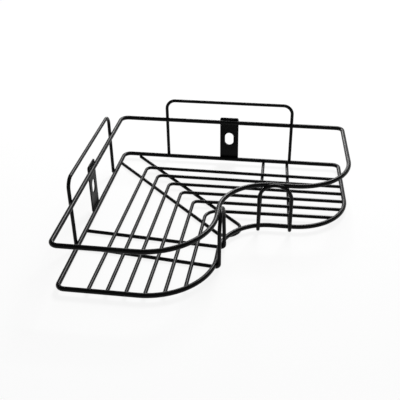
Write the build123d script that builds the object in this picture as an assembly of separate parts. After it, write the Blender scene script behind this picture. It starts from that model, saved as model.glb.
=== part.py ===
from build123d import *
import os
from math import cos, radians, sin, sqrt, tan

# Corner shower caddy of welded steel wire, in millimetres.
# X runs right along the back wall, Y points at the back wall and Z points up.
# Pieces are laid out from the wall corner of the base frame's centre line. A place on either leg is
# given as along (from the corner, along the wall), depth (from the wall side, into the room) and height.
# The finished pieces move together so that the origin is the centre of the footprint, at the lowest wire.

# Wire and sheet sizes, over the coat
FRAME_WIRE = 4.2
SLAT_WIRE = 3.3
SUPPORT_WIRE = 3.3
LOOP_WIRE = 3.3
PLATE_THICKNESS = 1.5
WELD_SINK = 0.3  # how far two wires press into each other where they are welded

# Outline shared by the base frame and the rim
BACK_LENGTH = 236.1  # outside, along the back wall
LEFT_LENGTH = 240.0  # outside, along the left wall
BACK_DEPTH = 127.0  # outside, from the back wall side to the inner edge
LEFT_DEPTH = 128.6  # outside, from the left wall side to the inner edge
RIM_HEIGHT = 43.2  # from the base frame's centre line to the rim's
CORNER_BEND = 7.3  # at the corner of the two walls
END_BEND = 6.3  # at the wall end of each leg
END_LEAN = {"back": 3.0, "left": 0.0}  # degrees that a leg's end opens out from square
NOSE_BEND = {"back": 48.9, "left": 56.7}  # at the free front corner of each leg
INNER_BEND = 43.2  # concave bend between the legs
INNER_STRAIGHT = 10.0  # least straight run of the inner edge, which carries the hoop's crest

# Floor slats, evenly spaced at the corner and fanning a little along each leg
SLAT_COUNT = 6
FIRST_SLAT = {"back": 28.7, "left": 31.3}  # corner of the first slat from the wall side
INNER_GAP = {"back": 18.0, "left": 19.2}  # corner of the last slat to the inner edge
FIRST_DRIFT = {"back": 0.8, "left": -2.5}  # depth that the first slat gains in 100 of its run
LAST_DRIFT = {"back": -1.9, "left": -1.1}  # depth that the last slat gains in 100 of its run
SLAT_BEND = 4.9
LAST_SLAT_BEND = 12.1
SLAT_BITE = 0.6  # how far a slat's end reaches into the frame wire's side

# Brackets: each wire runs out under the slats, up into a hoop before the rim, and back
HOOP_WIDTH = 28.9  # between the hoop's upright centre lines
HOOP_CREST = 0.6  # straight run at the top of the round hoop
HOOP_RISE = 1.2  # hoop's crest above the rim's centre line
TAIL_SPACING = 25.2  # between the bracket's two ends at the wall side
TAIL_OVERHANG = 1.2  # how far a bracket's end runs past the wall side's centre line
HOOP_START = {"back": 2.9, "left": 6.6}  # hoop's middle from where the inner edge's straight run starts
TAIL_SHIFT = {"back": -5.1, "left": -12.0}  # from the hoop's middle

# Hairpin under the corner
HAIRPIN_WIDTH = 24.4
HAIRPIN_CREST = 1.0  # straight run at its round tip
HAIRPIN_INSET = 0.5  # middle of its tip short of the concave bend's centre line
HAIRPIN_SLANT = 2.8  # how much further its tip reaches on the left leg's side

# Wall loops
LOOP_WIDTH = 131.7
LOOP_RISE = 20.5  # from the rim's centre line to the loop's top
LOOP_BEND = 9.3
LOOP_SHIFT = {"back": -1.5, "left": -12.1}  # from the middle of the leg

# Hanging plates
PLATE_WIDTH = 19.5
PLATE_CORNER = 2.0
PLATE_RISE = 4.3  # top edge above the rim's centre line
PLATE_DROP = 1.2  # bottom edge below the base frame's centre line
PLATE_SHIFT = {"back": -0.7, "left": -7.2}  # from the middle of the leg
SLOT_WIDTH = 9.0
SLOT_HEIGHT = 14.0

# Welds
WELD_BEAD = 1.7  # radius of a bead where wires cross
COLLAR_LENGTH = 1.8  # along a slat's end
COLLAR_WIDTH = 0.6  # out from the slat at the frame
COLLAR_LIP = 0.1  # out from the slat at the collar's thin end

# Sizes that follow from those above
LEGS = ("back", "left")
OTHER = {"back": "left", "left": "back"}
FRAME_RADIUS = FRAME_WIRE / 2
LENGTH = {"back": BACK_LENGTH - FRAME_WIRE, "left": LEFT_LENGTH - FRAME_WIRE}
DEPTH = {"back": BACK_DEPTH - FRAME_WIRE, "left": LEFT_DEPTH - FRAME_WIRE}
lean = {leg: radians(END_LEAN[leg]) for leg in LEGS}
nose_corner = {leg: LENGTH[leg] + tan(lean[leg]) * DEPTH[leg] for leg in LEGS}
nose_tangent = {leg: NOSE_BEND[leg] * (1 + sin(lean[leg])) / cos(lean[leg]) for leg in LEGS}
bend_room = {leg: nose_corner[leg] - DEPTH[OTHER[leg]] - INNER_STRAIGHT for leg in LEGS}
bend_share = min(1.0, *[bend_room[leg] / (nose_tangent[leg] + INNER_BEND) for leg in LEGS])
nose_bend = {leg: NOSE_BEND[leg] * bend_share for leg in LEGS}
inner_bend = INNER_BEND * bend_share
inner_start = {leg: DEPTH[OTHER[leg]] + inner_bend for leg in LEGS}
inner_stop = {leg: nose_corner[leg] - nose_tangent[leg] * bend_share for leg in LEGS}
slat_room = {leg: DEPTH[leg] - FIRST_SLAT[leg] - INNER_GAP[leg] for leg in LEGS}
slat_level = (SLAT_WIRE - FRAME_WIRE) / 2
support_offset = FRAME_RADIUS + SUPPORT_WIRE / 2 - WELD_SINK
support_level = -support_offset
hoop_bend = (HOOP_WIDTH - HOOP_CREST) / 2
hoop_offset = sqrt(support_offset**2 - HOOP_RISE**2)  # crest's depth beyond the rim, where it presses in
loop_offset = FRAME_RADIUS + LOOP_WIRE / 2 - WELD_SINK
wall_face = FRAME_RADIUS - WELD_SINK + PLATE_THICKNESS  # a plate's face towards the wall
plate_middle = wall_face - PLATE_THICKNESS / 2
beside_plate = wall_face - WELD_SINK / 2 - WELD_BEAD  # a plate's beads stay short of that face
beside_frame = FRAME_RADIUS - WELD_SINK / 2
under_frame = -beside_frame
wall_reach = loop_offset + LOOP_WIRE / 2
lowest = support_level - SUPPORT_WIRE / 2
nose_reach = {leg: inner_stop[leg] + nose_bend[leg] + FRAME_RADIUS for leg in LEGS}
footprint_middle = {leg: (nose_reach[leg] - wall_reach) / 2 for leg in LEGS}
bend_along = (inner_start["back"] + inner_start["left"]) / sqrt(2)  # concave bend's centre, on the diagonal
bend_across = (inner_start["back"] - inner_start["left"]) / sqrt(2)  # and off it
bend_middle = bend_along - sqrt(inner_bend**2 - bend_across**2)  # where the concave bend meets the diagonal
hairpin_tip = bend_middle - HAIRPIN_INSET
hairpin_bend = (HAIRPIN_WIDTH - HAIRPIN_CREST) / 2

ALONG = {"back": Vector(1, 0, 0), "left": Vector(0, -1, 0)}
INTO_ROOM = {"back": Vector(0, -1, 0), "left": Vector(1, 0, 0)}
UP = Vector(0, 0, 1)
FROM_BASE = (Align.CENTER, Align.CENTER, Align.MIN)
BEAD_TURN = Rot(20, 35, 50)  # turns a bead's seam and poles clear of the wires


def place(leg, along, depth, height):
    """Point on a leg of the tray."""
    return ALONG[leg] * along + INTO_ROOM[leg] * depth + UP * height


def bent_wire(points, bends, diameter, closed=False):
    """Round wire along straight runs joined by tangent bends."""
    path = FilletPolyline(*points, radius=bends, close=closed)
    start = Plane(origin=path @ 0, z_dir=path % 0)
    return sweep(start * Circle(diameter / 2), path=path)


def outline_wire(height):
    """Closed frame wire round the tray at this height."""
    corners = [
        place("back", 0, 0, height),
        place("back", LENGTH["back"], 0, height),
        place("back", nose_corner["back"], DEPTH["back"], height),
        place("back", DEPTH["left"], DEPTH["back"], height),
        place("left", nose_corner["left"], DEPTH["left"], height),
        place("left", LENGTH["left"], 0, height),
    ]
    bends = [CORNER_BEND, END_BEND, nose_bend["back"], inner_bend, nose_bend["left"], END_BEND]
    return bent_wire(corners, bends, FRAME_WIRE, closed=True)


def inner_depth(leg, along, offset):
    """Depth of a line that runs this far outside the inner edge's centre line."""
    if along < inner_start[leg]:
        radius = inner_bend - offset
        return DEPTH[leg] + inner_bend - sqrt(radius**2 - (inner_start[leg] - along) ** 2)
    if along > inner_stop[leg]:
        radius = nose_bend[leg] + offset
        return DEPTH[leg] - nose_bend[leg] + sqrt(radius**2 - (along - inner_stop[leg]) ** 2)
    return DEPTH[leg] + offset


def slat_depth(leg, number):
    """Depth of a slat's corner on a leg, counted from the wall side."""
    return FIRST_SLAT[leg] + slat_room[leg] * number / (SLAT_COUNT - 1)


def slat_run(leg, number):
    """Straight run of a slat, as its depth abreast of the wall corner and the depth gained along it."""
    share = number / (SLAT_COUNT - 1)
    gain = (FIRST_DRIFT[leg] * (1 - share) + LAST_DRIFT[leg] * share) / 100
    return slat_depth(leg, number) - gain * slat_depth(OTHER[leg], number), gain


def end_along(leg, depth, gain):
    """How far along a leg such a run meets the centre line of the leg's end."""
    nose = nose_bend[leg]
    nose_depth = DEPTH[leg] - nose
    along = (LENGTH[leg] + tan(lean[leg]) * depth) / (1 - tan(lean[leg]) * gain)
    if depth + gain * along <= nose_depth - nose * sin(lean[leg]):
        return along
    off_centre = depth + gain * inner_stop[leg] - nose_depth
    steep = 1 + gain**2
    return inner_stop[leg] + (sqrt(steep * nose**2 - off_centre**2) - gain * off_centre) / steep


def slat_end(leg, number):
    """Centre of a slat's end, short of the frame wire's centre line by what doesn't reach in."""
    depth, gain = slat_run(leg, number)
    along = end_along(leg, depth, gain) - FRAME_RADIUS + SLAT_BITE
    return place(leg, along, depth + gain * along, slat_level)


def slat_wire(number):
    """L-shaped floor wire, coped to the base frame at both ends."""
    bend = LAST_SLAT_BEND if number == SLAT_COUNT - 1 else SLAT_BEND
    corner = place("back", slat_depth("left", number), slat_depth("back", number), slat_level)
    points = [slat_end("back", number), corner, slat_end("left", number)]
    return bent_wire(points, [bend], SLAT_WIRE) - base_frame


def hoop_middle(leg):
    """Where along the leg the bracket's hoop stands."""
    return inner_start[leg] + HOOP_START[leg]


def bracket_sides(leg):
    """Along-places of a bracket's two runs, as pairs of wall end and hoop upright."""
    hoop = hoop_middle(leg)
    tail = hoop + TAIL_SHIFT[leg]
    return [(tail + side * TAIL_SPACING / 2, hoop + side * HOOP_WIDTH / 2) for side in (-1, 1)]


def bracket_wire(leg):
    """Bracket before it is notched by the wires that it carries."""
    crest_depth = inner_depth(leg, hoop_middle(leg), hoop_offset)
    sides = []
    for tail, upright in bracket_sides(leg):
        foot_depth = inner_depth(leg, upright, support_offset)
        sides.append([
            place(leg, tail, -TAIL_OVERHANG, support_level),
            place(leg, upright, foot_depth, support_level),
            place(leg, upright, crest_depth, RIM_HEIGHT + HOOP_RISE),
        ])
    points = sides[0] + sides[1][::-1]
    return bent_wire(points, [support_offset, hoop_bend, hoop_bend, support_offset], SUPPORT_WIRE)


def diagonal(along, across, height):
    """Point on the tray's diagonal, measured from the wall corner."""
    return Vector((along + across) / sqrt(2), (across - along) / sqrt(2), height)


def hairpin_wire():
    """Hairpin under the corner before it is notched, its tip under the middle of the concave bend."""
    half = HAIRPIN_WIDTH / 2
    points = [
        diagonal(half, half, support_level),
        diagonal(hairpin_tip - HAIRPIN_SLANT / 2, half, support_level),
        diagonal(hairpin_tip + HAIRPIN_SLANT / 2, -half, support_level),
        diagonal(half, -half, support_level),
    ]
    return bent_wire(points, hairpin_bend, SUPPORT_WIRE)


def loop_sides(leg):
    """Along-places of a wall loop's two legs."""
    middle = LENGTH[leg] / 2 + LOOP_SHIFT[leg]
    return [middle - LOOP_WIDTH / 2, middle + LOOP_WIDTH / 2]


def loop_wire(leg):
    """Inverted-U wire outside the base frame and the rim, its feet level with the frame's underside."""
    first, second = loop_sides(leg)
    top = RIM_HEIGHT + LOOP_RISE
    points = [
        place(leg, first, -loop_offset, -FRAME_RADIUS),
        place(leg, first, -loop_offset, top),
        place(leg, second, -loop_offset, top),
        place(leg, second, -loop_offset, -FRAME_RADIUS),
    ]
    return bent_wire(points, LOOP_BEND, LOOP_WIRE) - [base_frame, rim]


def plate_centre(leg):
    """Where along the leg the hanging plate stands."""
    return LENGTH[leg] / 2 + PLATE_SHIFT[leg]


def plate_sheet(leg):
    """Slotted hanging plate outside the base frame and the rim."""
    height = PLATE_DROP + RIM_HEIGHT + PLATE_RISE
    middle = place(leg, plate_centre(leg), -plate_middle, height / 2 - PLATE_DROP)
    face = Plane(origin=middle, x_dir=ALONG[leg], z_dir=ALONG[leg].cross(UP))
    blank = RectangleRounded(PLATE_WIDTH, height, PLATE_CORNER)
    slot = SlotOverall(SLOT_HEIGHT, SLOT_WIDTH, rotation=90)
    return extrude(face * (blank - slot), PLATE_THICKNESS / 2, both=True) - [base_frame, rim]


def crossing_bead(under, over, turn):
    """Bead between two crossing wires, the lower one along X and the upper one turned from it."""
    reach = 2 * (under + over)
    along_x = Rot(0, 90, 0)
    lower = Pos(0, 0, (WELD_SINK - under) / 2) * along_x * Cylinder(under / 2, reach)
    upper = Pos(0, 0, (over - WELD_SINK) / 2) * Rot(0, 0, turn) * along_x * Cylinder(over / 2, reach)
    return BEAD_TURN * Sphere(WELD_BEAD) - [lower, upper]


def seated(bead, point, along, up):
    """Solids of a bead set down at a crossing."""
    return (Plane(origin=point, x_dir=along, z_dir=up) * bead).solids()


def bead_at(point, *joined):
    """Bead round the place where pieces meet, outside all of them."""
    return (Pos(*point) * BEAD_TURN * Sphere(WELD_BEAD) - list(joined)).solids()


def slat_collar(leg, number):
    """Tapered collar round a slat's end, against the base frame."""
    inner = SLAT_WIRE / 2
    cone = Cone(inner + COLLAR_WIDTH, inner + COLLAR_LIP, COLLAR_LENGTH, align=FROM_BASE)
    ring = cone - Cylinder(inner, COLLAR_LENGTH, align=FROM_BASE)
    gain = slat_run(leg, number)[1]
    end = Plane(origin=slat_end(leg, number), z_dir=-(ALONG[leg] + INTO_ROOM[leg] * gain))
    return (end * ring - base_frame).solids()


def support_runs(leg):
    """Straight wires under a leg's slats, as the place at the wall side and the slant along per depth."""
    runs = [(HAIRPIN_WIDTH / sqrt(2), 1.0)]
    for tail, upright in bracket_sides(leg):
        slant = (upright - tail) / (inner_depth(leg, upright, support_offset) + TAIL_OVERHANG)
        runs.append((tail + slant * TAIL_OVERHANG, slant))
    return runs


base_frame = outline_wire(0)
rim = outline_wire(RIM_HEIGHT)
slats = [slat_wire(number) for number in range(SLAT_COUNT)]
bent_brackets = {leg: bracket_wire(leg) for leg in LEGS}
brackets = {leg: bent_brackets[leg] - [base_frame, rim, *slats] for leg in LEGS}
hairpin = hairpin_wire()
corner_support = hairpin - [base_frame, *slats]
loops = {leg: loop_wire(leg) for leg in LEGS}
plates = {leg: plate_sheet(leg) for leg in LEGS}

slat_end_welds = []
slat_crossing_welds = []
support_welds = bead_at(diagonal(hairpin_tip + HAIRPIN_INSET / 2, 0, under_frame), base_frame, hairpin)
hoop_welds = []
loop_welds = []
plate_welds = []
loop_bead = crossing_bead(FRAME_WIRE, LOOP_WIRE, 90)
for leg in LEGS:
    for number in range(SLAT_COUNT):
        slat_end_welds += slat_collar(leg, number)

    # The slats and the wall side of the base frame lie on the straight wires under them
    for start, slant in support_runs(leg):
        run = ALONG[leg] * slant + INTO_ROOM[leg]
        for number in range(SLAT_COUNT):
            depth, gain = slat_run(leg, number)
            crossing = (depth + gain * start) / (1 - gain * slant)
            turn = run.get_signed_angle(ALONG[leg] + INTO_ROOM[leg] * gain, UP)
            slat_bead = crossing_bead(SUPPORT_WIRE, SLAT_WIRE, turn)
            point = place(leg, start + slant * crossing, crossing, under_frame)
            slat_crossing_welds += seated(slat_bead, point, run, UP)
        frame_bead = crossing_bead(SUPPORT_WIRE, FRAME_WIRE, run.get_signed_angle(ALONG[leg], UP))
        support_welds += seated(frame_bead, place(leg, start, 0, under_frame), run, UP)

    # The bracket wraps the inner edge of the base frame and its hoop stands against the rim
    for tail, upright in bracket_sides(leg):
        point = place(leg, upright, inner_depth(leg, upright, 0), under_frame)
        support_welds += bead_at(point, base_frame, bent_brackets[leg])
    hoop = hoop_middle(leg)
    crest_share = beside_frame / support_offset
    crest_touch = inner_depth(leg, hoop, hoop_offset * crest_share)
    point = place(leg, hoop, crest_touch, RIM_HEIGHT + HOOP_RISE * crest_share)
    hoop_welds += bead_at(point, rim, bent_brackets[leg])

    # The loop and the plate stand against the wall side of the base frame and the rim
    for height, frame in ((0, base_frame), (RIM_HEIGHT, rim)):
        for along in loop_sides(leg):
            point = place(leg, along, -beside_frame, height)
            loop_welds += seated(loop_bead, point, ALONG[leg], -INTO_ROOM[leg])
        for side in (-1, 1):
            along = plate_centre(leg) + side * PLATE_WIDTH / 2
            plate_welds += bead_at(place(leg, along, -beside_plate, height), frame, plates[leg])

pieces = {"base_frame": base_frame, "rim": rim}
for number, slat in enumerate(slats):
    pieces[f"slat_{number + 1}"] = slat
for leg in LEGS:
    pieces[f"{leg}_bracket"] = brackets[leg]
    pieces[f"{leg}_loop"] = loops[leg]
    pieces[f"{leg}_plate"] = plates[leg]
pieces["corner_support"] = corner_support
pieces["slat_end_welds"] = Compound(slat_end_welds)
pieces["slat_crossing_welds"] = Compound(slat_crossing_welds)
pieces["support_welds"] = Compound(support_welds)
pieces["hoop_welds"] = Compound(hoop_welds)
pieces["loop_welds"] = Compound(loop_welds)
pieces["plate_welds"] = Compound(plate_welds)

os.makedirs("parts", exist_ok=True)
to_origin = Pos(-footprint_middle["back"], footprint_middle["left"], -lowest)
for name, piece in pieces.items():
    export_step(to_origin * piece, f"parts/{name}.step")
    print(name, len(piece.solids()), "solids", round(piece.volume, 1), "mm3")
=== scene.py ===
"""Corner shower caddy of black coated steel wire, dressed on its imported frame.

Sizes are in millimetres, apart from the studio's, and meshes are made in metres. A place on either leg of
the tray is given as along (from the wall corner, along the wall), depth (from the wall side, into the room)
and height (above the base frame's centre line).
"""

import logging
import math
from dataclasses import dataclass, field
from enum import Enum
from typing import Protocol

import bmesh
import bpy
import numpy as np
from mathutils import Matrix, Vector


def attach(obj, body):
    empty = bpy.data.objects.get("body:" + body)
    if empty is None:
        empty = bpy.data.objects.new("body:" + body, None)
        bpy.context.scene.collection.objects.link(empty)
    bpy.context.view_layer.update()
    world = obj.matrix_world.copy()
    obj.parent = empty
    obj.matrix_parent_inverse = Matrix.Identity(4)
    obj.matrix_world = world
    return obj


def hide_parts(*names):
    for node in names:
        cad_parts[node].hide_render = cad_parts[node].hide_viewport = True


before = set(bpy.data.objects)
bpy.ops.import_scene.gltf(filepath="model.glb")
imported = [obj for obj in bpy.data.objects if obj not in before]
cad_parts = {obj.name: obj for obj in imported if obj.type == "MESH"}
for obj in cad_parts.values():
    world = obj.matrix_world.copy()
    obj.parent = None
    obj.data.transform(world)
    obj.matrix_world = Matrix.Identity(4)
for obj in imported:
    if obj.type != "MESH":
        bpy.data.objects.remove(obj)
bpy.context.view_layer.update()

log = logging.getLogger("shower_caddy")

METRES = 0.001
LEFT_SIDE = 116.353  # from the middle of the footprint to the base frame's centre line at the left wall
BACK_SIDE = 116.4  # and at the back wall
BASE_LEVEL = 5.1  # height of the base frame's centre line above the underside of the lowest wire
WELD_SINK = 0.3  # how far welded wires press into each other
RING_SIDES = 28  # faces round a wire
STEEP = 0.9  # upward share of a direction that counts as steep

RIGHT = np.array([1.0, 0.0, 0.0])  # along the back wall, away from the corner
FORWARD = np.array([0.0, -1.0, 0.0])  # along the left wall, away from the corner
UP = np.array([0.0, 0.0, 1.0])


class Leg(Enum):
    """The legs of the tray, each named for the wall that it stands against."""

    BACK = "back"
    LEFT = "left"

    def place(self, along: float, depth: float, height: float) -> np.ndarray:
        """Turns a place on this leg into a point of the shared frame.

        Args:
            along: Distance from the wall corner, along the wall.
            depth: Distance from the wall side's centre line, into the room.
            height: Height above the base frame's centre line.

        Returns:
            The point, in millimetres.
        """
        if self is Leg.BACK:
            return np.array([along - LEFT_SIDE, BACK_SIDE - depth, height + BASE_LEVEL])
        return np.array([depth - LEFT_SIDE, BACK_SIDE - along, height + BASE_LEVEL])

    def other(self) -> "Leg":
        """The other leg."""
        return Leg.LEFT if self is Leg.BACK else Leg.BACK

    def into_room(self) -> np.ndarray:
        """Direction from this leg's wall into the room."""
        return FORWARD if self is Leg.BACK else RIGHT

    def along_wall(self) -> np.ndarray:
        """Direction along this leg's wall, away from the corner."""
        return RIGHT if self is Leg.BACK else FORWARD


def per_leg(back: float, left: float) -> dict[Leg, float]:
    """Dataclass field that holds one value for each leg."""
    return field(default_factory=lambda: {Leg.BACK: back, Leg.LEFT: left})


def unit(vector: np.ndarray) -> np.ndarray:
    """Vector of the same direction and length 1."""
    return vector / np.linalg.norm(vector)


class Surface(Protocol):
    """Anything that a weld can lie against."""

    def reach(self, point: np.ndarray) -> tuple[float, np.ndarray]:
        """Distance of a point outside the surface, and the way out there."""


@dataclass
class CentreLine:
    """Straight runs joined by tangent bends."""

    corners: list[np.ndarray]
    bends: list[float]
    closed: bool = False
    bend_step: float = math.radians(4.0)  # most turn between points round a bend
    least_steps: int = 6  # round one bend
    run_step: float = 9.0  # length between points on a straight run, about

    def bend(
        self, before: np.ndarray, corner: np.ndarray, after: np.ndarray, radius: float
    ) -> list[np.ndarray]:
        """Points round one bend.

        Args:
            before: The corner before this one.
            corner: The corner that is rounded.
            after: The corner after this one.
            radius: The bend's radius at the centre line.

        Returns:
            Points from the bend's start to its end.
        """
        way_in, way_out = unit(corner - before), unit(after - corner)
        turn = math.acos(float(np.clip(way_in @ way_out, -1.0, 1.0)))
        inward = unit(way_out - (way_in @ way_out) * way_in)
        start = corner - way_in * radius * math.tan(turn / 2)
        middle = start + inward * radius
        count = max(self.least_steps, math.ceil(turn / self.bend_step))
        angles = [turn * i / count for i in range(count + 1)]
        return [middle + radius * (way_in * math.sin(a) - inward * math.cos(a)) for a in angles]

    def points(self) -> np.ndarray:
        """Points along the whole line, close enough for its bends to look round.

        Returns:
            The points. A closed line's first point isn't repeated at its end.
        """
        count = len(self.corners)
        marks = []
        for i, corner in enumerate(self.corners):
            if not self.closed and i in (0, count - 1):
                marks.append(corner)
                continue
            radius = self.bends[i if self.closed else i - 1]
            marks += self.bend(self.corners[i - 1], corner, self.corners[(i + 1) % count], radius)
        line = [marks[0]]
        for mark in marks[1:] + (marks[:1] if self.closed else []):
            run = mark - line[-1]
            parts = max(1, round(float(np.linalg.norm(run)) / self.run_step))
            line += [line[-1] + run * k / parts for k in range(1, parts + 1)]
        return np.array(line[:-1] if self.closed else line)


@dataclass
class Skin:
    """Points, faces, normals and edge marks of one mesh, in millimetres."""

    points: list[np.ndarray] = field(default_factory=list)
    faces: list[tuple[int, ...]] = field(default_factory=list)
    normals: list[np.ndarray] = field(default_factory=list)
    edges: list[float] = field(default_factory=list)

    def ring(self, points: np.ndarray, normals: np.ndarray, edge: float = 0.0) -> list[int]:
        """Adds a ring of points.

        Args:
            points: The ring's points.
            normals: The way out at each point.
            edge: How much of an edge the ring is, from 0 to 1.

        Returns:
            The new points' numbers.
        """
        first = len(self.points)
        self.points += list(points)
        self.normals += list(normals)
        self.edges += [edge] * len(points)
        return list(range(first, first + len(points)))

    def bridge(self, one: list[int], other: list[int]) -> None:
        """Joins two rings of the same count with a band of faces.

        Args:
            one: The first ring's point numbers.
            other: The second ring's point numbers.
        """
        count = len(one)
        for i in range(count):
            j = (i + 1) % count
            self.faces.append((one[i], one[j], other[j], other[i]))

    def piece(self, name: str, node: str, slot: str, material: bpy.types.Material) -> None:
        """Makes the mesh's object and seats it on the frame.

        Args:
            name: The piece's name.
            node: Name of the frame's node that it stands for.
            slot: The record's material slot; not used.
            material: Its finish.
        """
        mesh = bpy.data.meshes.new(name)
        mesh.from_pydata([tuple(p * METRES) for p in self.points], [], self.faces)
        mesh.validate()
        shaped = bmesh.new()
        shaped.from_mesh(mesh)
        bmesh.ops.recalc_face_normals(shaped, faces=shaped.faces)
        shaped.to_mesh(mesh)
        shaped.free()
        mesh.shade_smooth()
        mesh.normals_split_custom_set_from_vertices([tuple(unit(n)) for n in self.normals])
        mark = mesh.attributes.new("edge", "FLOAT", "POINT")
        mark.data.foreach_set("value", np.array(self.edges, np.float32))
        mesh.materials.append(material)
        piece = bpy.data.objects.new(name, mesh)
        bpy.context.scene.collection.objects.link(piece)
        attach(piece, "root")
        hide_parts(node)
        log.info("%s: %d faces", piece.name, len(mesh.polygons))


@dataclass
class BentWire:
    """Round wire that follows a centre line."""

    line: np.ndarray
    diameter: float
    closed: bool = False
    end_round: float = 0.45  # how far the coat rounds a cut end
    end_rings: int = 5  # steps round a cut end's edge
    starts: np.ndarray = field(init=False)
    steps: np.ndarray = field(init=False)
    squares: np.ndarray = field(init=False)

    def __post_init__(self) -> None:
        """Keeps the line's straight steps and their squared lengths, for distances."""
        loop = np.vstack([self.line, self.line[:1]]) if self.closed else self.line
        self.starts = loop[:-1]
        self.steps = loop[1:] - loop[:-1]
        self.squares = (self.steps**2).sum(1)

    def reach(self, point: np.ndarray) -> tuple[float, np.ndarray]:
        """Distance of a point outside the wire, and the way out there.

        Args:
            point: A point, in millimetres.

        Returns:
            The distance, below 0 inside the wire, and a unit vector.
        """
        share = np.clip(((point - self.starts) * self.steps).sum(1) / self.squares, 0.0, 1.0)
        away = point - self.starts - share[:, None] * self.steps
        far = np.linalg.norm(away, axis=1)
        near = int(np.argmin(far))
        return float(far[near]) - self.diameter / 2, away[near] / far[near]

    def tangents(self) -> np.ndarray:
        """Direction of the wire at each point of its line.

        Returns:
            Unit vectors, one for each point.
        """
        if self.closed:
            ways = np.roll(self.line, -1, 0) - np.roll(self.line, 1, 0)
        else:
            ways = np.gradient(self.line, axis=0)
        return ways / np.linalg.norm(ways, axis=1)[:, None]

    def frames(self) -> list[tuple[np.ndarray, np.ndarray]]:
        """Two directions across the wire at each point, carried along without twist.

        Returns:
            Pairs of unit vectors, one pair for each point.
        """
        tangents = self.tangents()
        helper = UP if abs(tangents[0] @ UP) < STEEP else RIGHT
        across = unit(helper - (helper @ tangents[0]) * tangents[0])
        made = []
        for way in tangents:
            across = unit(across - (across @ way) * way)
            made.append((across, np.cross(way, across)))
        return made

    def skin(self) -> Skin:
        """The wire's surface, with its cut ends rounded.

        Returns:
            The surface as a mesh.
        """
        skin, radius = Skin(), self.diameter / 2
        angles = np.linspace(0.0, 2 * math.pi, RING_SIDES, endpoint=False)
        frames, tangents = self.frames(), self.tangents()
        rings = []

        def ring(i: int, shift: float, size: float, lean: float, edge: float) -> None:
            """Adds a ring round the wire.

            Args:
                i: Number of the line's point that it stands at.
                shift: How far it is moved along the wire from there.
                size: Its radius.
                lean: Angle by which its normals lean along the wire.
                edge: How much of an edge it is, from 0 to 1.
            """
            one, two = frames[i]
            out = np.cos(angles)[:, None] * one + np.sin(angles)[:, None] * two
            lean_out = out * math.cos(lean) + tangents[i] * math.sin(lean)
            rings.append(skin.ring(self.line[i] + tangents[i] * shift + out * size, lean_out, edge))

        def cut_end(i: int, way: int) -> None:
            """Adds the rings that round a cut end.

            Args:
                i: Number of the line's point at the end.
                way: 1 at the line's last point and -1 at its first.
            """
            quarter = [math.pi / 2 * k / self.end_rings for k in range(self.end_rings + 1)]
            for a in quarter if way > 0 else quarter[::-1]:
                shift = way * self.end_round * (math.sin(a) - 1)
                ring(i, shift, radius - self.end_round * (1 - math.cos(a)), way * a, math.sin(a))

        last = len(self.line) - 1
        for i in range(last + 1):
            if self.closed or 0 < i < last:
                ring(i, 0.0, radius, 0.0, 0.0)
            else:
                cut_end(i, 1 if i else -1)
        for one, other in zip(rings, rings[1:] + (rings[:1] if self.closed else [])):
            skin.bridge(one, other)
        if not self.closed:
            skin.faces += [tuple(rings[0]), tuple(rings[-1])]
        return skin


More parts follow.
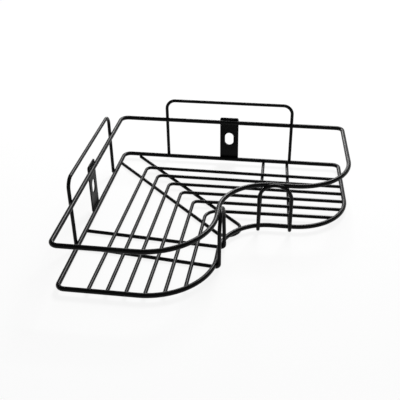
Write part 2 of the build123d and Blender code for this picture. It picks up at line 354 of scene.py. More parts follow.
@dataclass
class SheetPlate:
    """Flat plate with rounded corners and an upright slot, its edges softened by the coat."""

    middle: np.ndarray
    along: np.ndarray
    outward: np.ndarray
    width: float
    height: float
    thickness: float
    corner: float
    slot_width: float
    slot_height: float
    edge_round: float = 0.35  # how far the coat rounds the edges
    edge_rings: int = 4  # steps round an edge
    arc_points: int = 28  # round each corner and each quarter of the slot

    def local(self, point: np.ndarray) -> np.ndarray:
        """Place of a point from the plate's middle: along, up and outward."""
        way = point - self.middle
        return np.array([way @ self.along, way @ UP, way @ self.outward])

    def world(self, local: np.ndarray) -> np.ndarray:
        """Direction or offset given along, up and outward, in the shared frame."""
        return local[..., :1] * self.along + local[..., 1:2] * UP + local[..., 2:] * self.outward

    def reach(self, point: np.ndarray) -> tuple[float, np.ndarray]:
        """Distance of a point outside the unslotted plate, and the way out there.

        Args:
            point: A point, in millimetres.

        Returns:
            The distance, below 0 inside the plate, and a unit vector.
        """
        place = self.local(point)
        half = np.array([self.width, self.height, self.thickness]) / 2 - self.edge_round
        over = np.abs(place) - half
        side = np.where(place < 0, -1.0, 1.0)
        if over.max() > 0:
            out = np.maximum(over, 0.0)
            return float(np.linalg.norm(out)) - self.edge_round, self.world(unit(out * side))
        way = np.zeros(3)
        way[int(np.argmax(over))] = 1.0
        return float(over.max()) - self.edge_round, self.world(way * side)

    def outline(self, inset: float) -> tuple[np.ndarray, np.ndarray]:
        """The plate's outline, moved in from its edge, and the ways out there."""
        return self.rounded(self.width - 2 * inset, self.height - 2 * inset, self.corner - inset)

    def slot_outline(self, inset: float) -> tuple[np.ndarray, np.ndarray]:
        """The slot's outline, moved out from its edge into the plate.

        Args:
            inset: How far it is moved.

        Returns:
            Points along and up from the middle, and the ways into the slot there.
        """
        wide = self.slot_width + 2 * inset
        points, out = self.rounded(wide, self.slot_height + 2 * inset, wide / 2)
        return points, -out

    def rounded(self, width: float, height: float, corner: float) -> tuple[np.ndarray, np.ndarray]:
        """Rounded rectangle, with the same count of points in each quarter.

        Args:
            width: Its size along.
            height: Its size up.
            corner: Its corners' radius.

        Returns:
            Points along and up from the middle, and the ways out there.
        """
        points, ways = [], []
        for quarter, (right, top) in enumerate(((1, -1), (1, 1), (-1, 1), (-1, -1))):
            centre = np.array([right * (width / 2 - corner), top * (height / 2 - corner)])
            for k in range(self.arc_points):
                angle = math.pi / 2 * (quarter - 1 + k / (self.arc_points - 1))
                way = np.array([math.cos(angle), math.sin(angle)])
                points.append(centre + corner * way)
                ways.append(way)
        return np.array(points), np.array(ways)

    def skin(self) -> Skin:
        """The plate's whole surface: two faces, its edge and the slot's wall.

        Returns:
            The surface as a mesh.
        """
        skin, soft = Skin(), self.edge_round
        quarter = [math.pi / 2 * k / self.edge_rings for k in range(self.edge_rings + 1)]
        turns = [(1, a) for a in quarter[::-1]] + [(-1, a) for a in quarter]
        rings = []
        for shape, order in ((self.outline, turns), (self.slot_outline, turns[::-1])):
            for side, a in order:
                flat, ways = shape(soft * (1 - math.cos(a)))
                lift = side * (self.thickness / 2 - soft * (1 - math.sin(a)))
                spots = np.column_stack([flat, np.full(len(flat), lift)])
                out = np.column_stack([ways * math.cos(a), np.full(len(flat), side * math.sin(a))])
                rings.append(skin.ring(self.middle + self.world(spots), self.world(out), math.cos(a)))
        for one, other in zip(rings, rings[1:] + rings[:1]):
            skin.bridge(one, other)
        return skin


@dataclass
class WeldFillet:
    """Concave bead of weld and coat in the crease between two surfaces."""

    one: Surface
    other: Surface
    size: float = 0.9  # along each surface, from the crease
    across: int = 7  # points across the bead
    step: float = 0.3  # between points along the crease
    most_steps: int = 400  # along the crease
    least_steps: int = 6  # before the crease can close
    search: float = 8.0  # how far from the contact's middle the crease is looked for
    halvings: int = 30  # of that search
    snaps: int = 3  # rounds that bring a point onto the first surface in that search
    settling: int = 6  # rounds that bring a point onto both surfaces
    damping: float = 1e-9  # keeps those rounds steady where the surfaces run side by side
    spread: float = 0.12  # how unevenly the bead was laid
    waves: tuple[int, ...] = (1, 2, 3, 5)  # counts of the uneven swells round the bead
    wave_turn: float = 6.28  # radians by which each swell may be turned
    bed: float = 0.02  # how far the bead's rims lie inside the surfaces
    root: float = 0.3  # how far its hidden back lies under the crease
    seed: int = 3

    def on_both(self, point: np.ndarray) -> np.ndarray:
        """Moves a point to where both surfaces meet.

        Args:
            point: A point near both surfaces.

        Returns:
            The point on both of them.
        """
        for _ in range(self.settling):
            (gap_one, out_one), (gap_other, out_other) = self.one.reach(point), self.other.reach(point)
            ways = np.array([out_one, out_other])
            steady = ways @ ways.T + self.damping * np.eye(2)
            point = point - ways.T @ np.linalg.solve(steady, [gap_one, gap_other])
        return point

    def start(self, contact: np.ndarray, way: np.ndarray) -> np.ndarray:
        """First point of the crease, found from the contact's middle.

        Args:
            contact: A point inside both pieces.
            way: Direction to look in.

        Returns:
            A point on both surfaces.
        """
        low, high = 0.0, self.search
        for _ in range(self.halvings):
            far = (low + high) / 2
            point = contact + way * far
            for _ in range(self.snaps):
                gap, out = self.one.reach(point)
                point = point - gap * out
            low, high = (far, high) if self.other.reach(point)[0] < 0 else (low, far)
        return self.on_both(point)

    def crease(self, contact: np.ndarray, way: np.ndarray) -> np.ndarray:
        """Closed line round a contact, where both surfaces meet.

        Args:
            contact: A point inside both pieces.
            way: Direction to look for the line in.

        Returns:
            Points along the line.
        """
        first = self.start(contact, way)
        line, point = [first], first
        for count in range(self.most_steps):
            run = np.cross(self.one.reach(point)[1], self.other.reach(point)[1])
            point = self.on_both(point + unit(run) * self.step)
            if count > self.least_steps and np.linalg.norm(point - first) < self.step:
                break
            line.append(point)
        return np.array(line)

    def sizes(self, count: int) -> np.ndarray:
        """The bead's uneven size round its crease.

        Args:
            count: How many points the crease has.

        Returns:
            The size at each point.
        """
        rng = np.random.default_rng(self.seed)
        turns = np.arange(count) / count * 2 * math.pi
        uneven = np.zeros(count)
        for k in self.waves:
            uneven += rng.normal() / k * np.cos(k * turns + rng.uniform(0, self.wave_turn))
        return self.size * (1 + self.spread * uneven)

    def lay(self, skin: Skin, line: np.ndarray) -> None:
        """Lays the bead along a closed crease.

        Args:
            skin: The mesh that takes the bead.
            line: Points along the crease.
        """
        sizes = self.sizes(len(line))
        outs_one = np.array([self.one.reach(p)[1] for p in line])
        outs_other = np.array([self.other.reach(p)[1] for p in line])
        runs = np.roll(line, -1, 0) - np.roll(line, 1, 0)
        runs /= np.linalg.norm(runs, axis=1)[:, None]
        ways_one, ways_other = np.cross(runs, outs_one), -np.cross(runs, outs_other)
        if (ways_one * outs_other).sum() < 0:
            ways_one, ways_other = -ways_one, -ways_other
        rims = []
        for ways, surface in ((ways_one, self.one), (ways_other, self.other)):
            rim = []
            for spot in line + ways * sizes[:, None]:
                gap, out = surface.reach(spot)
                rim.append(spot - (gap + self.bed) * out)
            rims.append(np.array(rim))
        rings = []
        for share in np.linspace(0.0, 1.0, self.across):
            spots = (1 - share) ** 2 * rims[0] + 2 * share * (1 - share) * line + share**2 * rims[1]
            slope = (1 - share) * (line - rims[0]) + share * (rims[1] - line)
            out = np.cross(slope, runs)
            flip = np.sign((out * (outs_one + outs_other)).sum())
            rings.append(skin.ring(spots, out * flip))
        back = line - self.root * (outs_one + outs_other)
        rings.append(skin.ring(back, -(outs_one + outs_other)))
        for one, other in zip(rings, rings[1:] + rings[:1]):
            skin.bridge(one, other)


@dataclass
class ButtFillet(WeldFillet):
    """Bead round the end of a wire that runs into another wire."""

    one: BentWire
    points_round: int = 36  # in the line round the end
    run_up: float = 5.0  # how far back from the end the search along the wire starts
    overrun: float = 1.4  # how far past the end it may go
    tries: int = 60  # steps of that search
    touch: float = 0.002  # gap that counts as contact

    def collar(self, end: np.ndarray, way: np.ndarray) -> np.ndarray:
        """Closed line round a wire's end, where it goes into the other wire.

        Args:
            end: The end's centre.
            way: Direction that the wire runs in, towards its end.

        Returns:
            Points along the line.
        """
        beside = np.cross(way, UP)
        radius = self.one.diameter / 2
        line = []
        for k in range(self.points_round):
            angle = 2 * math.pi * k / self.points_round
            out = math.cos(angle) * UP + math.sin(angle) * beside
            spot = end + radius * out - self.run_up * way
            for _ in range(self.tries):
                gap = self.other.reach(spot)[0]
                if gap < self.touch:
                    break
                spot = spot + way * min(gap, float((end - spot) @ way) + self.overrun)
            line.append(spot)
        return np.array(line)


@dataclass(frozen=True)
class CoatFinish:
    """Black satin coat, with its fine peel, uneven gloss and paler, thinner edges."""

    name: str
    slot: str
    deep: tuple[float, float, float] = (0.0012, 0.0012, 0.0013)  # colour of a full coat
    thin: tuple[float, float, float] = (0.0026, 0.0026, 0.0028)  # of a thinner coat
    worn: tuple[float, float, float] = (0.0080, 0.0080, 0.0083)  # and of a rubbed edge
    patch: float = 14.0  # width of the patches of uneven colour and gloss
    patch_shades: tuple[float, float] = (0.35, 0.70)  # noise levels at which the coat is deep and thin
    patch_gloss: tuple[float, float] = (0.3, 0.7)  # noise levels at which it is glossiest and dullest
    gloss_rough: tuple[float, float] = (0.27, 0.34)  # its least and most roughness
    speck: float = 0.35  # width of the specks on worn edges
    peel: float = 1.1  # width of the coat's dimples
    peel_depth: float = 0.0012
    peel_strength: float = 0.6
    mirror: float = 0.095  # specular level

    def material(self) -> bpy.types.Material:
        """Builds the finish's node material.

        Returns:
            The material, which reads the mesh's edge marks.
        """
        made = bpy.data.materials.new(self.name)
        made.use_nodes = True
        nodes, link = made.node_tree.nodes, made.node_tree.links.new
        shader = nodes["Principled BSDF"]
        shader.inputs["Specular IOR Level"].default_value = self.mirror
        place = nodes.new("ShaderNodeTexCoord").outputs["Object"]

        def noise(width: float, detail: float) -> bpy.types.NodeSocket:
            """Adds a noise pattern.

            Args:
                width: Width of its patches, in millimetres.
                detail: How many finer layers it has.

            Returns:
                The pattern's output.
            """
            node = nodes.new("ShaderNodeTexNoise")
            node.inputs["Scale"].default_value = 1 / (width * METRES)
            node.inputs["Detail"].default_value = detail
            link(place, node.inputs["Vector"])
            return node.outputs["Fac"]

        patches = noise(self.patch, detail=3.0)
        dimples = noise(self.peel, detail=2.0)
        specks = noise(self.speck, detail=1.0)

        shades = nodes.new("ShaderNodeValToRGB")
        stops = zip(shades.color_ramp.elements, self.patch_shades, (self.deep, self.thin))
        for stop, level, colour in stops:
            stop.position = level
            stop.color = (*colour, 1.0)
        link(patches, shades.inputs["Fac"])

        edge = nodes.new("ShaderNodeAttribute")
        edge.attribute_name = "edge"
        rubbed = nodes.new("ShaderNodeMath")
        rubbed.operation = "MULTIPLY"
        link(edge.outputs["Fac"], rubbed.inputs[0])
        link(specks, rubbed.inputs[1])
        coat = nodes.new("ShaderNodeMix")
        coat.data_type = "RGBA"
        link(rubbed.outputs[0], coat.inputs["Factor"])
        link(shades.outputs["Color"], coat.inputs["A"])
        coat.inputs["B"].default_value = (*self.worn, 1.0)
        link(coat.outputs["Result"], shader.inputs["Base Color"])

        gloss = nodes.new("ShaderNodeMapRange")
        gloss.inputs["From Min"].default_value, gloss.inputs["From Max"].default_value = self.patch_gloss
        gloss.inputs["To Min"].default_value, gloss.inputs["To Max"].default_value = self.gloss_rough
        link(patches, gloss.inputs["Value"])
        link(gloss.outputs["Result"], shader.inputs["Roughness"])

        bump = nodes.new("ShaderNodeBump")
        bump.inputs["Strength"].default_value = self.peel_strength
        bump.inputs["Distance"].default_value = self.peel_depth * METRES
        link(dimples, bump.inputs["Height"])
        link(bump.outputs["Normal"], shader.inputs["Normal"])
        return made


@dataclass(frozen=True)
class LegShape:
    """Sizes of one leg's outline, at the wire's centre line."""

    length: float  # from the wall corner to the leg's end, at the wall
    depth: float  # from the wall side to the inner edge
    nose_bend: float  # between the leg's end and its inner edge
    lean: float = 0.0  # radians that the leg's end opens out from square

    @property
    def nose_corner(self) -> float:
        """Where along the leg its end and its inner edge would meet without the nose's bend."""
        return self.length + math.tan(self.lean) * self.depth

    @property
    def inner_stop(self) -> float:
        """Where along the leg the inner edge's straight run stops."""
        return self.nose_corner - self.nose_bend * (1 + math.sin(self.lean)) / math.cos(self.lean)

    def end_along(self, depth: float, gain: float) -> float:
        """How far along the leg a run meets the centre line of the leg's end.

        Args:
            depth: The run's depth abreast of the wall corner.
            gain: The depth that it gains per length along.

        Returns:
            The place along the leg.
        """
        slope, nose_depth = math.tan(self.lean), self.depth - self.nose_bend
        along = (self.length + slope * depth) / (1 - slope * gain)
        if depth + gain * along <= nose_depth - self.nose_bend * math.sin(self.lean):
            return along
        off_centre, steep = depth + gain * self.inner_stop - nose_depth, 1 + gain**2
        reach = math.sqrt(steep * self.nose_bend**2 - off_centre**2) - gain * off_centre
        return self.inner_stop + reach / steep


@dataclass(frozen=True)
class TrayOutline:
    """Centre line that the base frame and the rim share, and what follows from it."""

    back: LegShape = LegShape(length=231.9, depth=122.8, nose_bend=48.9, lean=math.radians(3.0))
    left: LegShape = LegShape(length=235.8, depth=124.4, nose_bend=56.7)
    corner_bend: float = 7.3  # where the walls meet
    end_bend: float = 6.3  # between a wall side and a leg's end
    inner_bend: float = 43.2  # the concave bend between the legs
    wire: float = 4.2  # diameter over the coat
    rim_height: float = 43.2  # of the rim's centre line above the base frame's

    def shape(self, leg: Leg) -> LegShape:
        """Sizes of a leg."""
        return self.back if leg is Leg.BACK else self.left

    def inner_start(self, leg: Leg) -> float:
        """Where along a leg the inner edge's straight run starts."""
        return self.shape(leg.other()).depth + self.inner_bend

    def ring(self, height: float) -> BentWire:
        """Closed frame wire.

        Args:
            height: Height of its centre line above the base frame's.

        Returns:
            The wire.
        """
        back, left = self.back, self.left
        corners = [
            Leg.BACK.place(0, 0, height),
            Leg.BACK.place(back.length, 0, height),
            Leg.BACK.place(back.nose_corner, back.depth, height),
            Leg.BACK.place(left.depth, back.depth, height),
            Leg.LEFT.place(left.nose_corner, left.depth, height),
            Leg.LEFT.place(left.length, 0, height),
        ]
        noses = [back.nose_bend, self.inner_bend, left.nose_bend]
        line = CentreLine(corners, [self.corner_bend, self.end_bend, *noses, self.end_bend], closed=True)
        return BentWire(line.points(), self.wire, closed=True)

    def inner_depth(self, leg: Leg, along: float, offset: float) -> float:
        """Depth of a line outside the inner edge.

        Args:
            leg: The leg.
            along: Where along it.
            offset: How far outside the inner edge's centre line the line runs.

        Returns:
            Its depth there.
        """
        shape, start = self.shape(leg), self.inner_start(leg)
        if along < start:
            radius = self.inner_bend - offset
            return shape.depth + self.inner_bend - math.sqrt(radius**2 - (start - along) ** 2)
        if along > shape.inner_stop:
            radius = shape.nose_bend + offset
            return shape.depth - shape.nose_bend + math.sqrt(radius**2 - (along - shape.inner_stop) ** 2)
        return shape.depth + offset


@dataclass
class TrayFrame:
    """Base frame and rim, the two thick wires that share one outline."""

    outline: TrayOutline
    base: BentWire = field(init=False)
    rim: BentWire = field(init=False)

    def __post_init__(self) -> None:
        """Bends both wires."""
        self.base = self.outline.ring(0.0)
        self.rim = self.outline.ring(self.outline.rim_height)

    def build(self, coat: bpy.types.Material, slot: str) -> None:
        """Makes and dresses both wires."""
        self.base.skin().piece("base_frame_wire", "base_frame", slot, coat)
        self.rim.skin().piece("rim_wire", "rim", slot, coat)


@dataclass
class FloorSlats:
    """Six nested L-shaped wires of the tray's floor, butted into the base frame."""

    outline: TrayOutline
    wire: float = 3.3
    count: int = 6
    first: dict[Leg, float] = per_leg(back=28.7, left=31.3)  # depth of the first slat's corner
    inner_gap: dict[Leg, float] = per_leg(back=18.0, left=19.2)  # last slat's corner to the inner edge
    first_drift: dict[Leg, float] = per_leg(back=0.8, left=-2.5)  # depth that the first slat gains
    last_drift: dict[Leg, float] = per_leg(back=-1.9, left=-1.1)  # and the last slat
    drift_run: float = 100.0  # in this length of run
    bend: float = 4.9  # at a slat's corner
    last_bend: float = 12.1  # at the innermost slat's corner
    reach_in: float = 1.3  # how far an end goes into the frame wire
    bead: float = 0.8  # size of the beads round the ends
    slats: list[BentWire] = field(init=False)

    def __post_init__(self) -> None:
        """Bends every slat."""
        self.slats = [self.slat(number) for number in range(self.count)]

    @property
    def level(self) -> float:
        """Height of the slats' centre lines, level with the frame underneath."""
        return (self.wire - self.outline.wire) / 2

    def depth(self, leg: Leg, number: int) -> float:
        """Depth of a slat's corner on a leg."""
        room = self.outline.shape(leg).depth - self.first[leg] - self.inner_gap[leg]
        return self.first[leg] + room * number / (self.count - 1)

    def run(self, leg: Leg, number: int) -> tuple[float, float]:
        """Straight run of a slat.

        Args:
            leg: The leg that it runs along.
            number: The slat's number.

        Returns:
            Its depth abreast of the wall corner, and the depth that it gains per length along.
        """
        share = number / (self.count - 1)
        gain = (self.first_drift[leg] * (1 - share) + self.last_drift[leg] * share) / self.drift_run
        return self.depth(leg, number) - gain * self.depth(leg.other(), number), gain

    def way(self, leg: Leg, number: int) -> np.ndarray:
        """Direction of a slat along a leg, towards its end."""
        return unit(leg.along_wall() + leg.into_room() * self.run(leg, number)[1])

    def end(self, leg: Leg, number: int) -> np.ndarray:
        """Centre of a slat's end, inside the frame wire.

        Args:
            leg: The leg that the end lies on.
            number: The slat's number.

        Returns:
            The point, in millimetres.
        """
        depth, gain = self.run(leg, number)
        along = self.outline.shape(leg).end_along(depth, gain) - self.outline.wire / 2 + self.reach_in
        return leg.place(along, depth + gain * along, self.level)

    def slat(self, number: int) -> BentWire:
        """Bends one slat.

        Args:
            number: The slat's number, from the wall side.

        Returns:
            Its wire.
        """
        corner = Leg.BACK.place(self.depth(Leg.LEFT, number), self.depth(Leg.BACK, number), self.level)
        corners = [self.end(Leg.BACK, number), corner, self.end(Leg.LEFT, number)]
        bend = self.last_bend if number == self.count - 1 else self.bend
        return BentWire(CentreLine(corners, [bend]).points(), self.wire)

    def build(self, coat: bpy.types.Material, slot: str) -> None:
        """Makes and dresses every slat."""
        for number, slat in enumerate(self.slats, 1):
            slat.skin().piece(f"slat_{number}_wire", f"slat_{number}", slot, coat)

    def weld(self, frame_wire: BentWire, coat: bpy.types.Material, slot: str) -> None:
        """Makes and dresses the beads round the slats' ends.

        Args:
            frame_wire: The base frame's wire.
            coat: The beads' finish.
            slot: The record's material slot.
        """
        beads = Skin()
        for number, slat in enumerate(self.slats):
            for leg in Leg:
                bead = ButtFillet(slat, frame_wire, size=self.bead, seed=number * 2 + (leg is Leg.LEFT))
                bead.lay(beads, bead.collar(self.end(leg, number), self.way(leg, number)))
        beads.piece("slat_end_beads", "slat_end_welds", slot, coat)


@dataclass
class FloorSupports:
    """Two brackets that run under the slats and up into hoops, and the hairpin under the corner."""

    outline: TrayOutline
    wire: float = 3.3
    hoop_width: float = 28.9  # between the hoop's upright centre lines
    hoop_crest: float = 0.6  # straight run at the top of the round hoop
    hoop_rise: float = 1.2  # hoop's crest above the rim's centre line
    hoop_start: dict[Leg, float] = per_leg(back=2.9, left=6.6)  # past the start of the inner edge's run
    tail_spacing: float = 25.2  # between a bracket's two ends
    tail_overhang: float = 1.2  # past the wall side's centre line
    tail_shift: dict[Leg, float] = per_leg(back=-5.1, left=-12.0)  # from the hoop's middle
    hairpin_width: float = 24.4  # between its centre lines
    hairpin_crest: float = 1.0  # straight run at its round tip
    hairpin_inset: float = 0.5  # middle of its tip short of the concave bend's centre line
    hairpin_slant: float = 2.8  # how much further its tip reaches on the left leg's side
    bead: float = 0.8  # size of the beads at the inner edge
    seat_seed: int = 100  # each kind of bead has seeds of its own
    foot_seed: int = 200
    crest_seed: int = 300
    tip_seed: int = 400
    brackets: dict[Leg, BentWire] = field(init=False)
    hairpin: BentWire = field(init=False)

    def __post_init__(self) -> None:
        """Bends the three wires."""
        self.brackets = {leg: self.bracket(leg) for leg in Leg}
        self.hairpin = self.corner_hairpin()

    @property
    def offset(self) -> float:
        """Distance between the centre lines of a support and a frame wire that it is welded to."""
        return (self.outline.wire + self.wire) / 2 - WELD_SINK

    @property
    def hoop_offset(self) -> float:
        """Depth of a hoop's crest beyond the rim's centre line."""
        return math.sqrt(self.offset**2 - self.hoop_rise**2)

    @property
    def under_frame(self) -> float:
        """Height of the contact between the supports and what lies on them."""
        return (WELD_SINK - self.outline.wire) / 2

    @property
    def hairpin_tip(self) -> float:
        """Distance of the hairpin's tip from the wall corner, along the diagonal.

        Returns:
            The distance to the middle of the tip.
        """
        back, left = (self.outline.inner_start(leg) for leg in Leg)
        along, across = (back + left) / math.sqrt(2), (back - left) / math.sqrt(2)
        return along - math.sqrt(self.outline.inner_bend**2 - across**2) - self.hairpin_inset

    def hoop_middle(self, leg: Leg) -> float:
        """Where along the leg the hoop stands."""
        return self.outline.inner_start(leg) + self.hoop_start[leg]

    def sides(self, leg: Leg) -> list[tuple[float, float]]:
        """Where along the leg a bracket's two runs lie.

        Args:
            leg: The bracket's leg.

        Returns:
            Each run's place at the wall and at the hoop.
        """
        hoop = self.hoop_middle(leg)
        tail = hoop + self.tail_shift[leg]
        halves = (-0.5, 0.5)
        return [(tail + half * self.tail_spacing, hoop + half * self.hoop_width) for half in halves]

    def bracket(self, leg: Leg) -> BentWire:
        """Bends one bracket, from its end at the wall round its hoop and back.

        Args:
            leg: The bracket's leg.

        Returns:
            Its wire.
        """
        crest = self.outline.inner_depth(leg, self.hoop_middle(leg), self.hoop_offset)
        runs = []
        for tail, upright in self.sides(leg):
            foot = self.outline.inner_depth(leg, upright, self.offset)
            runs.append([
                leg.place(tail, -self.tail_overhang, -self.offset),
                leg.place(upright, foot, -self.offset),
                leg.place(upright, crest, self.outline.rim_height + self.hoop_rise),
            ])
        hoop_bend = (self.hoop_width - self.hoop_crest) / 2
        bends = [self.offset, hoop_bend, hoop_bend, self.offset]
        return BentWire(CentreLine(runs[0] + runs[1][::-1], bends).points(), self.wire)

    def diagonal(self, along: float, across: float, height: float) -> np.ndarray:
        """Point on the tray's diagonal.

        Args:
            along: Distance from the wall corner, along the diagonal.
            across: Distance across it, towards the back leg.
            height: Height above the base frame's centre line.

        Returns:
            The point, in millimetres.
        """
        root = math.sqrt(2)
        return Leg.BACK.place((along + across) / root, (along - across) / root, height)

    def corner_hairpin(self) -> BentWire:
        """Bends the hairpin, its tip under the concave bend.

        Returns:
            Its wire.
        """
        half, tip, slant = self.hairpin_width / 2, self.hairpin_tip, self.hairpin_slant / 2
        spots = [(half, half), (tip - slant, half), (tip + slant, -half), (half, -half)]
        corners = [self.diagonal(along, across, -self.offset) for along, across in spots]
        bend = (self.hairpin_width - self.hairpin_crest) / 2
        return BentWire(CentreLine(corners, [bend, bend]).points(), self.wire)

    def build(self, coat: bpy.types.Material, slot: str) -> None:
        """Makes and dresses the three wires.

        Args:
            coat: Their finish.
            slot: The record's material slot.
        """
        for leg, bracket in self.brackets.items():
            bracket.skin().piece(f"{leg.value}_bracket_wire", f"{leg.value}_bracket", slot, coat)
        self.hairpin.skin().piece("corner_hairpin_wire", "corner_support", slot, coat)

    def runs(self, leg: Leg) -> list[tuple[BentWire, float, float]]:
        """Straight runs under a leg's slats.

        Args:
            leg: The leg.

        Returns:
            Each run's wire, its place along the leg at the wall side, and its slant along per depth.
        """
        made = [(self.hairpin, self.hairpin_width / math.sqrt(2), 1.0)]
        for tail, upright in self.sides(leg):
            foot = self.outline.inner_depth(leg, upright, self.offset)
            slant = (upright - tail) / (foot + self.tail_overhang)
            made.append((self.brackets[leg], tail + slant * self.tail_overhang, slant))
        return made

    def weld(self, tray: TrayFrame, floor: FloorSlats, coat: bpy.types.Material, slot: str) -> None:
        """Makes and dresses the beads between the supports and the slats, the base frame and the rim.

        Args:
            tray: The base frame and the rim.
            floor: The slats.
            coat: The beads' finish.
            slot: The record's material slot.
        """
        crossings, seats, crests = Skin(), Skin(), Skin()
        count = 0
        for leg in Leg:
            for wire, start, slant in self.runs(leg):
                way = unit(leg.along_wall() * slant + leg.into_room())
                for number, slat in enumerate(floor.slats):
                    count += 1
                    depth, gain = floor.run(leg, number)
                    crossing = (depth + gain * start) / (1 - gain * slant)
                    spot = leg.place(start + slant * crossing, crossing, self.under_frame)
                    bead = WeldFillet(wire, slat, seed=count)
                    bead.lay(crossings, bead.crease(spot, way))
                bead = WeldFillet(wire, tray.base, seed=self.seat_seed + count)
                bead.lay(seats, bead.crease(leg.place(start, 0, self.under_frame), way))

            for _, upright in self.sides(leg):
                spot = leg.place(upright, self.outline.inner_depth(leg, upright, 0), self.under_frame)
                bead = WeldFillet(self.brackets[leg], tray.base, self.bead, seed=self.foot_seed + count)
                bead.lay(seats, bead.crease(spot, leg.along_wall()))

            hoop = self.hoop_middle(leg)
            share = (self.outline.wire - WELD_SINK) / 2 / self.offset
            touch = self.outline.inner_depth(leg, hoop, self.hoop_offset * share)
            spot = leg.place(hoop, touch, self.outline.rim_height + self.hoop_rise * share)
            bead = WeldFillet(self.brackets[leg], tray.rim, self.bead, seed=self.crest_seed + count)
            bead.lay(crests, bead.crease(spot, UP))

        spot = self.diagonal(self.hairpin_tip + self.hairpin_inset / 2, 0, self.under_frame)
        corner_to_tip = unit(RIGHT + FORWARD)
        bead = WeldFillet(self.hairpin, tray.base, self.bead, seed=self.tip_seed)
        bead.lay(seats, bead.crease(spot, corner_to_tip))
        crossings.piece("slat_crossing_beads", "slat_crossing_welds", slot, coat)
        seats.piece("support_beads", "support_welds", slot, coat)
        crests.piece("hoop_beads", "hoop_welds", slot, coat)


@dataclass
class WallLoops:
    """Inverted-U wires that stand on the wall sides of the tray."""

    outline: TrayOutline
    wire: float = 3.3
    width: float = 131.7  # between a loop's upright centre lines
    rise: float = 20.5  # from the rim's centre line to the loop's top
    bend: float = 9.3
    shift: dict[Leg, float] = per_leg(back=-1.5, left=-12.1)  # from the middle of the leg
    loops: dict[Leg, BentWire] = field(init=False)

    def __post_init__(self) -> None:
        """Bends both loops."""
        self.loops = {leg: self.loop(leg) for leg in Leg}

    def sides(self, leg: Leg) -> list[float]:
        """Where along the leg a loop's two legs stand."""
        middle = self.outline.shape(leg).length / 2 + self.shift[leg]
        return [middle - self.width / 2, middle + self.width / 2]

    def loop(self, leg: Leg) -> BentWire:
        """Bends one loop, its feet level with the frame's underside.

        Args:
            leg: The leg that it stands on.

        Returns:
            Its wire.
        """
        depth = WELD_SINK - (self.outline.wire + self.wire) / 2
        foot, top = -self.outline.wire / 2, self.outline.rim_height + self.rise
        first, second = self.sides(leg)
        spots = [(first, foot), (first, top), (second, top), (second, foot)]
        corners = [leg.place(along, depth, height) for along, height in spots]
        return BentWire(CentreLine(corners, [self.bend, self.bend]).points(), self.wire)

    def build(self, coat: bpy.types.Material, slot: str) -> None:
        """Makes and dresses both loops."""
        for leg, loop in self.loops.items():
            loop.skin().piece(f"{leg.value}_loop_wire", f"{leg.value}_loop", slot, coat)

    def weld(self, tray: TrayFrame, coat: bpy.types.Material, slot: str) -> None:
        """Makes and dresses the beads between the loops and both frame wires.

        Args:
            tray: The base frame and the rim.
            coat: The beads' finish.
            slot: The record's material slot.
        """
        beads = Skin()
        touch = (WELD_SINK - self.outline.wire) / 2
        for leg in Leg:
            for along in self.sides(leg):
                for height, frame_wire in ((0.0, tray.base), (self.outline.rim_height, tray.rim)):
                    bead = WeldFillet(frame_wire, self.loops[leg], seed=int(along) + int(height))
                    bead.lay(beads, bead.crease(leg.place(along, touch, height), leg.along_wall()))
        beads.piece("loop_beads", "loop_welds", slot, coat)


@dataclass
class HangingPlates:
    """Slotted plates on the wall sides of the tray."""

    outline: TrayOutline
    width: float = 19.5
    corner: float = 2.0
    thickness: float = 1.5
    rise: float = 4.3  # top edge above the rim's centre line
    drop: float = 1.2  # bottom edge below the base frame's centre line
    shift: dict[Leg, float] = per_leg(back=-0.7, left=-7.2)  # from the middle of the leg
    slot_width: float = 9.0
    slot_height: float = 14.0
    bead: float = 0.7  # size of the beads along the plates
    bead_spread: float = 0.06  # how unevenly they were laid
    plates: dict[Leg, SheetPlate] = field(init=False)

    def __post_init__(self) -> None:
        """Cuts both plates."""
        self.plates = {leg: self.plate(leg) for leg in Leg}

    def along(self, leg: Leg) -> float:
        """Where along the leg a plate's middle stands."""
        return self.outline.shape(leg).length / 2 + self.shift[leg]

    def plate(self, leg: Leg) -> SheetPlate:
        """Cuts one plate, outside both frame wires.

        Args:
            leg: The leg that it stands on.

        Returns:
            The plate.
        """
        height = self.drop + self.outline.rim_height + self.rise
        depth = WELD_SINK - (self.outline.wire + self.thickness) / 2
        middle = leg.place(self.along(leg), depth, height / 2 - self.drop)
        return SheetPlate(
            middle, leg.along_wall(), -leg.into_room(), self.width, height,
            self.thickness, self.corner, self.slot_width, self.slot_height,
        )

    def build(self, coat: bpy.types.Material, slot: str) -> None:
        """Makes and dresses both plates."""
        for leg, plate in self.plates.items():
            plate.skin().piece(f"{leg.value}_plate_sheet", f"{leg.value}_plate", slot, coat)

    def weld(self, tray: TrayFrame, coat: bpy.types.Material, slot: str) -> None:
        """Makes and dresses the beads between the plates and both frame wires.

        Args:
            tray: The base frame and the rim.
            coat: The beads' finish.
            slot: The record's material slot.
        """
        beads = Skin()
        touch = (WELD_SINK - self.outline.wire) / 2
        for leg, plate in self.plates.items():
            along = self.along(leg)
            for height, frame_wire in ((0.0, tray.base), (self.outline.rim_height, tray.rim)):
                seed = int(along) + int(height)
                bead = WeldFillet(frame_wire, plate, self.bead, spread=self.bead_spread, seed=seed)
                bead.lay(beads, bead.crease(leg.place(along, touch, height), UP))
        beads.piece("plate_beads", "plate_welds", slot, coat)


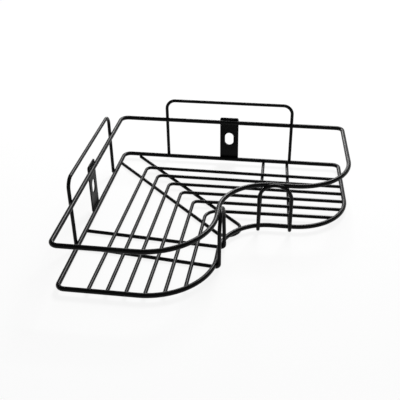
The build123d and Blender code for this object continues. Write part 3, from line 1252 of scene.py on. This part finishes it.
@dataclass(frozen=True)
class Lamp:
    """Soft rectangular light, in metres and watts."""

    name: str
    place: tuple[float, float, float]
    size: tuple[float, float]
    power: float
    aim: tuple[float, float, float] = (0.0, 0.0, 0.03)  # the middle of the caddy

    def hang(self) -> None:
        """Hangs the light and turns it to the caddy."""
        light = bpy.data.lights.new(self.name, "AREA")
        light.shape, light.energy = "RECTANGLE", self.power
        light.size, light.size_y = self.size
        lamp = bpy.data.objects.new(self.name, light)
        lamp.location = self.place
        lamp.rotation_euler = (Vector(self.aim) - Vector(self.place)).to_track_quat("-Z", "Y").to_euler()
        lamp.visible_camera = False
        bpy.context.scene.collection.objects.link(lamp)


@dataclass
class Studio:
    """Pale floor that rises into a cove, soft lights and the camera, in metres."""

    flat_rings: tuple[float, ...] = (0.25, 0.5, 0.8, 1.1)  # radii on the flat floor
    cove_radius: float = 0.7
    cove_turn: float = math.radians(75)
    cove_rings: int = 12
    floor_sides: int = 72
    floor_shade: float = 0.86
    white_share: float = 0.88  # how much of the floor's look is plain white; the rest keeps the shadow
    key: Lamp = Lamp("key_light", place=(0.18, 0.88, 0.87), size=(0.42, 0.36), power=17.0)
    side: Lamp = Lamp("side_light", place=(-0.15, 0.90, 0.37), size=(0.25, 0.2), power=3.0)
    top: Lamp = Lamp("top_light", place=(0.15, -0.05, 1.5), size=(1.2, 1.2), power=2.0)
    room_light: float = 0.15  # strength of the world's even light
    camera_place: tuple[float, float, float] = (0.064836, -0.518921, 0.351129)
    yaw: float = -0.15352  # radians that it turns right from facing the back wall
    pitch: float = 0.55796  # radians that it looks down
    roll: float = -0.01591  # radians that its right side is raised
    focal: float = 1.666825  # in image widths
    sensor: float = 36.0  # millimetres

    def pale(self) -> bpy.types.Material:
        """Pale floor: plain white where it is looked at, with part of the shadow kept.

        Returns:
            The floor's material.
        """
        made = bpy.data.materials.new("pale_floor")
        made.use_nodes = True
        made.cycles.emission_sampling = "NONE"  # its white shows, and isn't searched for as a light
        nodes, link = made.node_tree.nodes, made.node_tree.links.new
        nodes.remove(nodes["Principled BSDF"])
        rays = nodes.new("ShaderNodeLightPath").outputs
        seen = rays["Is Camera Ray"]
        for name in ("Is Glossy Ray", "Is Transmission Ray"):
            either = nodes.new("ShaderNodeMath")
            either.operation = "MAXIMUM"
            link(seen, either.inputs[0])
            link(rays[name], either.inputs[1])
            seen = either.outputs[0]
        share = nodes.new("ShaderNodeMath")
        share.operation = "MULTIPLY"
        share.inputs[1].default_value = self.white_share
        link(seen, share.inputs[0])
        matt, white = nodes.new("ShaderNodeBsdfDiffuse"), nodes.new("ShaderNodeEmission")
        matt.inputs["Color"].default_value = (self.floor_shade, self.floor_shade, self.floor_shade, 1.0)
        mixed = nodes.new("ShaderNodeMixShader")
        link(share.outputs[0], mixed.inputs["Fac"])
        link(matt.outputs[0], mixed.inputs[1])
        link(white.outputs[0], mixed.inputs[2])
        link(mixed.outputs[0], nodes["Material Output"].inputs["Surface"])
        return made

    def floor(self) -> None:
        """Lays the floor and its cove."""
        profile = [(radius, 0.0) for radius in self.flat_rings]
        for k in range(1, self.cove_rings + 1):
            angle = self.cove_turn * k / self.cove_rings
            radius = self.flat_rings[-1] + self.cove_radius * math.sin(angle)
            profile.append((radius, self.cove_radius * (1 - math.cos(angle))))
        points, faces = [(0.0, 0.0, 0.0)], []
        for radius, height in profile:
            for k in range(self.floor_sides):
                turn = 2 * math.pi * k / self.floor_sides
                points.append((radius * math.cos(turn), radius * math.sin(turn), height))
        for k in range(self.floor_sides):
            after = (k + 1) % self.floor_sides
            faces.append((0, 1 + k, 1 + after))
            for band in range(len(profile) - 1):
                low = 1 + band * self.floor_sides
                high = low + self.floor_sides
                faces.append((low + k, high + k, high + after, low + after))
        mesh = bpy.data.meshes.new("floor")
        mesh.from_pydata(points, [], faces)
        mesh.shade_smooth()
        mesh.materials.append(self.pale())
        floor = bpy.data.objects.new("floor", mesh)
        bpy.context.scene.collection.objects.link(floor)

    def lights(self) -> None:
        """Hangs the lights and sets the room's own dim light."""
        for lamp in (self.key, self.side, self.top):
            lamp.hang()
        world = bpy.data.worlds.new("room")
        world.use_nodes = True
        room = world.node_tree.nodes["Background"]
        room.inputs["Color"].default_value = (1.0, 1.0, 1.0, 1.0)
        room.inputs["Strength"].default_value = self.room_light
        bpy.context.scene.world = world

    def camera(self) -> None:
        """Sets the camera at the photographed angle."""
        flat = math.cos(self.pitch)
        ahead = Vector((math.sin(self.yaw) * flat, math.cos(self.yaw) * flat, -math.sin(self.pitch)))
        level = Vector((math.cos(self.yaw), -math.sin(self.yaw), 0.0))
        upright = level.cross(ahead)
        right = math.cos(self.roll) * level + math.sin(self.roll) * upright
        up = math.cos(self.roll) * upright - math.sin(self.roll) * level
        lens = bpy.data.cameras.new("camera")
        lens.sensor_width = self.sensor
        lens.lens = self.focal * self.sensor
        camera = bpy.data.objects.new("camera", lens)
        turn = Matrix((right, up, -ahead)).transposed().to_4x4()
        camera.matrix_world = Matrix.Translation(self.camera_place) @ turn
        bpy.context.scene.collection.objects.link(camera)
        bpy.context.scene.camera = camera

    def build(self) -> None:
        """Sets up the floor, the lights, the camera and the plain view."""
        self.floor()
        self.lights()
        self.camera()
        bpy.context.scene.view_settings.view_transform = "Standard"


def main() -> None:
    """Builds the caddy piece by piece, then the studio round it."""
    logging.basicConfig(level=logging.INFO, format="%(name)s: %(message)s")
    outline = TrayOutline()
    wire_coat = CoatFinish("black_wire_coat", "wire_coat")
    plate_coat = CoatFinish("black_plate_coat", "plate_coat", gloss_rough=(0.36, 0.46), peel=1.4)
    weld_coat = CoatFinish(
        "black_weld_coat", "weld_coat", gloss_rough=(0.34, 0.46), peel=0.8, peel_depth=0.006
    )
    wire, plate, weld = (finish.material() for finish in (wire_coat, plate_coat, weld_coat))

    tray, floor = TrayFrame(outline), FloorSlats(outline)
    supports, loops, plates = FloorSupports(outline), WallLoops(outline), HangingPlates(outline)
    for wires in (tray, floor, supports, loops):
        wires.build(wire, wire_coat.slot)
    plates.build(plate, plate_coat.slot)
    floor.weld(tray.base, weld, weld_coat.slot)
    supports.weld(tray, floor, weld, weld_coat.slot)
    loops.weld(tray, weld, weld_coat.slot)
    plates.weld(tray, weld, weld_coat.slot)
    Studio().build()


if __name__ == "__main__":
    main()
